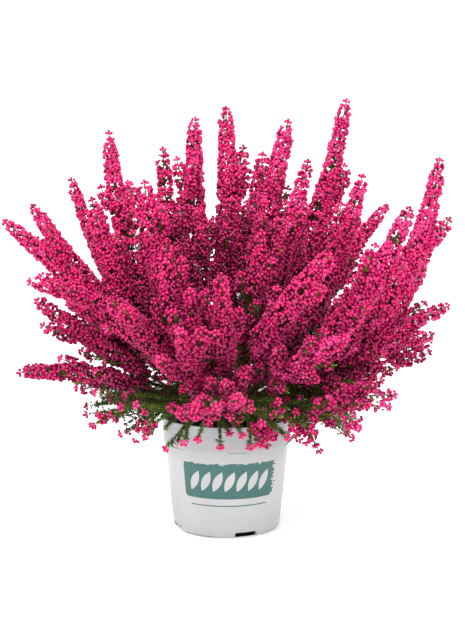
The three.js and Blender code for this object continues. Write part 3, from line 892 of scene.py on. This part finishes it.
def grow(bell_bm, green_bm, line, girth, flowers_from, thick, thin, rng, light=0.0, tip_cluster=True,
         girth_share=1.0, main=False, purple=0.02, hanging=False):
    """Grows one twig: stalk, needles and clusters. girth is the sleeve's radius at each point."""
    across = frames_along(line)
    last = len(line) - 1
    radii = [(thick + (thin - thick) * i / last) * MM for i in range(last + 1)]
    leafy_twig = light > 0.3
    stalk(green_bm, line, across, radii, 10 if leafy_twig else 13)
    length = sum((b - a).length for a, b in zip(line, line[1:]))
    step = length / last
    first_flower = flowers_from * length

    # Needles from the foot, thinning out where the bells begin
    reach = 1.5 * MM
    while reach < length - 3 * MM:
        i = min(round(reach / step), last)
        along = across[i][0]
        flowering = reach > first_flower + 6 * MM
        tone = needle_tone(line[i], 7.5 if flowering else 5.5 + 3 * light, rng)
        stamp(green_bm, rng.choice(whorls[tone]), aimed(line[i], along, rng.uniform(0, QUARTER_TURN)))
        gap = NEEDLE_GAP * (5.5 if flowering else 0.85 if leafy_twig else 1.1)
        reach += gap * rng.uniform(0.85, 1.2) * MM

    # Clusters from the tip down. Deep in the plant it is too dark for bells, so they thin out there.
    made = 0
    along = across[last][0]
    if tip_cluster:
        fan_foot = line[last] - along * FAN_BACK * MM
        stamp(bell_bm, rng.choice(fans), aimed(fan_foot, along, rng.uniform(0, FULL_TURN)))
        made += 1
    reach = length - TIP_GAPS[0] * MM
    whorl = 0
    spin = rng.uniform(0, FULL_TURN)
    while reach > first_flower:
        i = min(max(round(reach / step), 0), last)
        along, side, other = across[i]
        out_to = max(girth[i] * girth_share / MM - CLUSTER_DEPTH, 1.2)
        count = max(4 if whorl > 1 else 3, round(2 * math.pi * out_to / CLUSTER_WIDTH + 0.4))
        spin += math.pi / count + rng.uniform(-0.2, 0.2)
        for k in range(count):
            angle = spin + 2 * math.pi * k / count + rng.uniform(-0.2, 0.2)
            outward = side * math.cos(angle) + other * math.sin(angle)
            jitter = rng.uniform(-0.9, 0.9)
            centre = line[i] + outward * (out_to + rng.uniform(-0.9, 0.7)) * MM + along * jitter * MM
            out = outness(centre)
            chance = smooth_step(out, *BARE_INSIDE)
            height = centre.z / MM
            far = smooth_step(centre.xy.length / MM, *FAR_OUT)
            if main:
                chance *= 0.2 + 0.8 * max(smooth_step(height, *LOW_MAIN), far)
            else:
                chance *= max(smooth_step(height, LOW_GREEN, LOW_ENDS), 0.5 * far)
            hollow = not hanging and seen_inside(centre, GREEN_PLACES)
            if hanging:
                chance = HANGING_CHANCE
            elif hollow:
                chance *= HOLLOW_SHARE
            patch = noise.noise(Vector((reach * 45, angle * 0.7, spin)))
            if rng.random() > chance or patch > BARE_PATCH:
                # Where there are no bells, a leafy tuft stands in their place.
                if hollow or rng.random() < TUFT_CHANCE:
                    # Tufts in the hollows take darker needles: painted shade.
                    tuft = rng.choice(whorls[needle_tone(centre, 3.5 if hollow else 6, rng)])
                    tuft_reach = max(out_to, 4) if hollow else 3.5
                    tuft_foot = line[i] + outward * rng.uniform(1, tuft_reach) * MM
                    stamp(green_bm, tuft, aimed(tuft_foot, (outward + along).normalized(),
                                                rng.uniform(0, QUARTER_TURN)))
                continue
            pointing = (outward + along * rng.uniform(0.1, 0.7)).normalized()
            foot = line[i] + along * (jitter - 2.5) * MM
            reach_out = centre - foot
            stamp(green_bm, spikes[13], aimed(foot, reach_out)
                  @ Matrix.Diagonal((0.8 * MM, 0.8 * MM, reach_out.length, 1)))
            # Bells deep in the plant and low down take darker tones, and side twigs darker still: painted
            # shade. Hanging sprigs take a light tone: painted light.
            lit_share = smooth_step(out, *SHADED_INSIDE) * (0.52 + 0.48 * smooth_step(height, *SHADED_LOW))
            if hanging:
                lit_share = HANGING_LIGHT
            shade = LOW_TONE + (HIGH_TONE - LOW_TONE) * lit_share - (0 if main else SIDE_TWIG_PAINTED_SHADE)
            shade = min(max(int(rng.gauss(shade, TONE_SPREAD)), 0), TONES - 3)
            if rng.random() < purple:
                shade = PURPLE
            stamp(bell_bm, rng.choice(clusters[shade]), aimed(centre, pointing, rng.uniform(0, FULL_TURN)))
            made += 1
        whorl += 1
        gap = TIP_GAPS[whorl] if whorl < len(TIP_GAPS) else WHORL_GAP
        reach -= gap * rng.uniform(0.9, 1.12) * MM
    return made


# %% [markdown]
# ## Side twigs
# A heath shoot carries shorter flowering side twigs below its own tip and leafy ones near the ground. They
# fill the plant between the tall spikes. Each starts on its shoot, leans out and then turns up beside it.

# %% Side twigs
RIM_ZONE = (55, 72)
OVER_RIM = 115
OVER_PEAT = 105
LOWEST_TWIG = 90


def clear_of_pot(line):
    """True when the twig passes over the rim, not through it, and stays above the peat."""
    for point in line:
        radius = point.xy.length / MM
        z = point.z / MM
        in_pot = radius < RIM_ZONE[0] and z < OVER_PEAT
        in_rim = RIM_ZONE[0] <= radius < RIM_ZONE[1] and z < OVER_RIM
        if in_pot or in_rim or z < LOWEST_TWIG:
            return False
    return True


TWIG_GIRTH = 6
# Side twigs that show in the plant's outline, by shoot: height of the fork, side (-1 left, 1 right), length
OUTLINE_TWIGS = {
    2: [(262, -1, 38)],
    8: [(300, 1, 45)],
    9: [(303, -1, 45)],
    11: [(321, -1, 50), (258, 1, 50), (222, 1, 44)],
    12: [(226, -1, 48), (310, 1, 58), (262, -1, 50)],
    13: [(321, -1, 52), (296, 1, 50)],
    15: [(298, 1, 46)],
    16: [(284, -1, 40)],
    17: [(222, 1, 50), (250, 1, 40)],
    19: [(185, 1, 36)],
    20: [(215, -1, 46), (245, -1, 44)],
}
OUTLINE_OPENING = math.radians(34)
OUTLINE_LIFT = 0.3
OUTLINE_GIRTH = 7
SPRIG_GIRTH = 5.6
LEAFY_GIRTH = 5.4
TWIG_SPACING = 33
LEANS_FAR = math.radians(52)
# Sprigs that hang over the rim or below the low shoots, by shoot: knee and tip
HANGING_SPRIGS = {
    35: [((26, -72, 124), (27, -84, 99)), ((34, -70, 122), (38, -82, 97)),
         ((30, -74, 126), (33, -88, 103)), ((40, -66, 121), (45, -80, 104))],
    26: [((64, -56, 124), (70, -58, 97)), ((62, -54, 122), (66, -62, 102)),
         ((68, -54, 126), (77, -56, 94)), ((72, -54, 122), (86, -56, 92))],
    27: [((-74, -44, 124), (-88, -50, 95)), ((-66, -54, 124), (-78, -64, 101)),
         ((-112, -48, 126), (-136, -52, 122)), ((-108, -50, 124), (-130, -60, 112))],
}


def through_daylight(line):
    """True when a twig, seen from the camera, would cross one of the gaps."""
    return any(seen_inside(point, DAYLIGHT, TWIG_GIRTH) for point in line)


def bent(start, knee, end, count):
    """A line of even steps that bends once, near the knee."""
    return [start.lerp(knee, n / count).lerp(knee.lerp(end, n / count), n / count) for n in range(count + 1)]


def side_twig(line, across, i, length, angle, opening, lift):
    along, side, other = across[i]
    outward = side * math.cos(angle) + other * math.sin(angle)
    start = line[i]
    first = (along * math.cos(opening) + outward * math.sin(opening)).normalized()
    later = (along + outward * 0.18 + Vector((0, 0, lift))).normalized()
    knee = start + first * length * 0.42 * MM
    end = knee + later * length * 0.58 * MM
    return bent(start, knee, end, max(6, round(length / STEP)))


def start_shoot(node):
    """The line and girth of a sleeve, and two empty meshes for its bells and its green."""
    rings = read_sleeve(node)
    line, girth = smooth_line([p for p, _ in rings], [r for _, r in rings], STEP * MM)
    bell_bm, green_bm = bmesh.new(), bmesh.new()
    for bm in (bell_bm, green_bm):
        bm.loops.layers.uv.new(MAP)
    return line, girth, bell_bm, green_bm


def finish_shoot(label, name, bell_bm, green_bm):
    """Makes a shoot's two pieces and returns the number of their triangles."""
    bell_piece = new_object(f"{label}_bells", bell_bm, petal_material)
    green_piece = new_object(f"{label}_green", green_bm, green_material)
    count = 0
    for piece, slot in ((bell_piece, "flowers"), (green_piece, "green_shoot")):
        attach(piece, "root")
        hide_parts(name)
        piece.data.calc_loop_triangles()
        count += len(piece.data.loop_triangles)
    return count


# %% [markdown]
# ## The flowering shoots
# Fifty-one shoots are grown in their CAD sleeves, each as two pieces: its bells, and its green with needles
# and stalks. Every shoot has its own seed, so the plant is the same each time.

# %% Grow the shoots
SHOOTS = sorted(n for n in nodes if n.startswith("flowering_shoot_"))
triangles = 0
all_clusters = 0
for number, name in enumerate(SHOOTS, 1):
    rng = random.Random(100 + number)
    line, girth, bell_bm, green_bm = start_shoot(name)
    across = frames_along(line)
    length = STEP * (len(line) - 1)
    purple = 0.11 if line[-1].x > 50 * MM else 0.0
    all_clusters += grow(bell_bm, green_bm, line, girth, 0.3, 1.5, 0.55, rng, girth_share=1.08,
                         main=True, purple=purple)

    # Flowering side twigs in the middle of the shoot, then leafy ones near its foot
    for height, sideways, twig_length in OUTLINE_TWIGS.get(number, []):
        # The twig starts at the point of the shoot nearest the fork's height.
        i = min(range(len(line)), key=lambda n: abs(line[n].z - height * MM))
        _, side, other = across[i]
        twig = side_twig(line, across, i, twig_length, math.atan2(other.x * sideways, side.x * sideways),
                         OUTLINE_OPENING, OUTLINE_LIFT)
        sizes = [OUTLINE_GIRTH * MM] * len(twig)
        all_clusters += grow(bell_bm, green_bm, twig, sizes, 0.2, 0.9, 0.45, rng, light=0.2, purple=purple)
    for knee, tip in HANGING_SPRIGS.get(number, []):
        knee, tip = Vector(knee) * MM, Vector(tip) * MM
        start = min(line, key=lambda point: (point - knee).length + abs(point.z - knee.z - 4 * MM))
        count = max(8, round(((knee - start).length + (tip - knee).length) / STEP / MM))
        twig = bent(start, knee, tip, count)
        sizes = [SPRIG_GIRTH * MM] * len(twig)
        all_clusters += grow(bell_bm, green_bm, twig, sizes, 0.6, 0.8, 0.4, rng, light=0.4, hanging=True)
    wanted = round(length / TWIG_SPACING)
    turn = rng.uniform(0, FULL_TURN)
    for k in range(wanted):
        for _ in range(8):
            t = 0.2 + 0.53 * (k + rng.uniform(0.1, 0.9)) / wanted
            i = min(int(t * len(line)), len(line) - 1)
            turn += GOLDEN_ANGLE + rng.uniform(-0.4, 0.4)
            twig = side_twig(line, across, i, rng.uniform(34, 56), turn,
                             math.radians(rng.uniform(38, 60)), rng.uniform(0, 0.35))
            if clear_of_pot(twig) and not through_daylight(twig):
                break
        else:
            continue
        sizes = [(6.2 + 1.2 * math.sin(math.pi * n / (len(twig) - 1))) * MM for n in range(len(twig))]
        all_clusters += grow(bell_bm, green_bm, twig, sizes, 0.22, 0.9, 0.45, rng, light=0.2,
                             purple=purple)
    # Leafy twigs near the foot. A shoot that leans far out carries more of them, and they hang.
    leaning = math.atan2((line[-1] - line[0]).xy.length, line[-1].z - line[0].z)
    low = leaning > LEANS_FAR
    for k in range(7 if low else 3):
        for _ in range(12):
            i = int(rng.uniform(0.03, 0.55 if low else 0.3) * len(line))
            turn += GOLDEN_ANGLE
            lift = rng.uniform(-0.7, 0.1) if low else rng.uniform(-0.4, 0.4)
            twig = side_twig(line, across, i, rng.uniform(24, 50), turn,
                             math.radians(rng.uniform(35, 75)), lift)
            hangs = twig[-1].z < line[i].z + 12 * MM
            if clear_of_pot(twig) and (hangs or not low) and not through_daylight(twig):
                break
        else:
            continue
        sizes = [LEAFY_GIRTH * MM] * len(twig)
        all_clusters += grow(bell_bm, green_bm, twig, sizes, rng.choice((0.72, 0.9)), 0.8, 0.4, rng,
                             light=0.4, tip_cluster=rng.random() < 0.5)

    # Round the crown, leafy sprigs reach out over the rim.
    foot = line[0]
    if foot.xy.length > 20 * MM:
        for k in range(5):
            azimuth = math.atan2(foot.y, foot.x) + rng.uniform(-0.5, 0.5)
            out = Vector((math.cos(azimuth), math.sin(azimuth), 0))
            reach_to = rng.uniform(72, 112 + 36 * abs(out.x)) * MM
            start = line[rng.randrange(0, 5)]
            knee = start + out * 0.55 * (reach_to - start.xy.length) + Vector((0, 0, rng.uniform(0, 20) * MM))
            end = out * reach_to + Vector((0, 0, rng.uniform(98, 144) * MM))
            count = max(6, round((end - start).length / STEP / MM))
            twig = bent(start, knee, end, count)
            if clear_of_pot(twig):
                sizes = [LEAFY_GIRTH * MM] * len(twig)
                all_clusters += grow(bell_bm, green_bm, twig, sizes, 0.86, 0.8, 0.4, rng, light=0.4,
                                     tip_cluster=rng.random() < 0.6)

    triangles += finish_shoot(f"shoot_{number:02d}", name, bell_bm, green_bm)
print("shoots:", len(SHOOTS), "clusters:", all_clusters, "triangles:", triangles)

# %% [markdown]
# ## Rim sprigs
# Three short sprigs hang over the rim. They are mostly green, with a few bells near the tip.

# %% Grow the rim sprigs
for number, name in enumerate(sorted(n for n in nodes if n.startswith("rim_sprig_")), 1):
    rng = random.Random(500 + number)
    line, girth, bell_bm, green_bm = start_shoot(name)
    grow(bell_bm, green_bm, line, girth, 0.6, 1.1, 0.5, rng, light=0.7)
    finish_shoot(f"sprig_{number}", name, bell_bm, green_bm)
